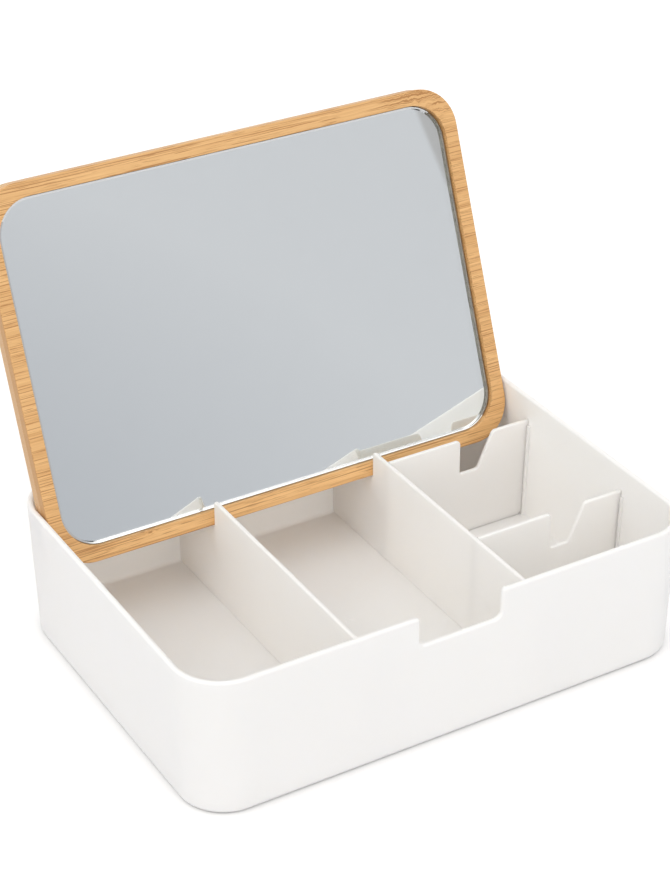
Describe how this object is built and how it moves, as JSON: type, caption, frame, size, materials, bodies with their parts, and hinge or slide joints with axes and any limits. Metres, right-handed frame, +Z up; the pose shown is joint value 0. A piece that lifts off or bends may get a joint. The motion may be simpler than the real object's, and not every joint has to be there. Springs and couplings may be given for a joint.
{
  "type": "vanity organizer with mirror",
  "caption": "Open-topped rounded rectangular organizer tray with long and cross dividers; its framed mirror lid stands leaning back in slots and lies flat on the dividers when closed.",
  "frame": {"origin": "middle of the tray's footprint, on the table that the anti-slip pads stand on", "axes": "+X to the right of someone who looks into the mirror, +Y to the back, +Z up"},
  "size_m": [0.27, 0.2302, 0.2207],
  "materials": {
    "tray_plastic": "smooth satin injection-moulded white plastic",
    "divider_plastic": "smooth satin injection-moulded white plastic",
    "bamboo_frame": "sanded bamboo board, grain along the lid's width, clear satin lacquer",
    "bamboo_panel": "sanded bamboo board, grain along the lid's width, clear satin lacquer",
    "mirror_glass": "clear float glass with ground edges",
    "mirror_backing": "silvered layer under grey protective paint",
    "tape": "double-sided foam tape",
    "pad_rubber": "soft translucent anti-slip pad"
  },
  "bodies": {
    "tray": {"tray": "tray_plastic", "feet": "pad_rubber"},
    "divider_front": {"divider_front": "divider_plastic"},
    "divider_rear": {"divider_rear": "divider_plastic"},
    "lid": {"lid_frame": "bamboo_frame", "lid_panel": "bamboo_panel", "mirror_glass": "mirror_glass", "mirror_backing": "mirror_backing", "mirror_tape": "tape"}
  },
  "joints": [
    {"name": "lid_lift", "type": "slide", "parent": "tray", "child": "lid", "axis": [0, 0.3649, 0.9311], "range_m": [0, 0.05]},
    {"name": "divider_front_lift", "type": "slide", "parent": "tray", "child": "divider_front", "axis": [0, 0, 1], "range_m": [0, 0.075]},
    {"name": "divider_rear_lift", "type": "slide", "parent": "tray", "child": "divider_rear", "axis": [0, 0, 1], "range_m": [0, 0.075]}
  ]
}
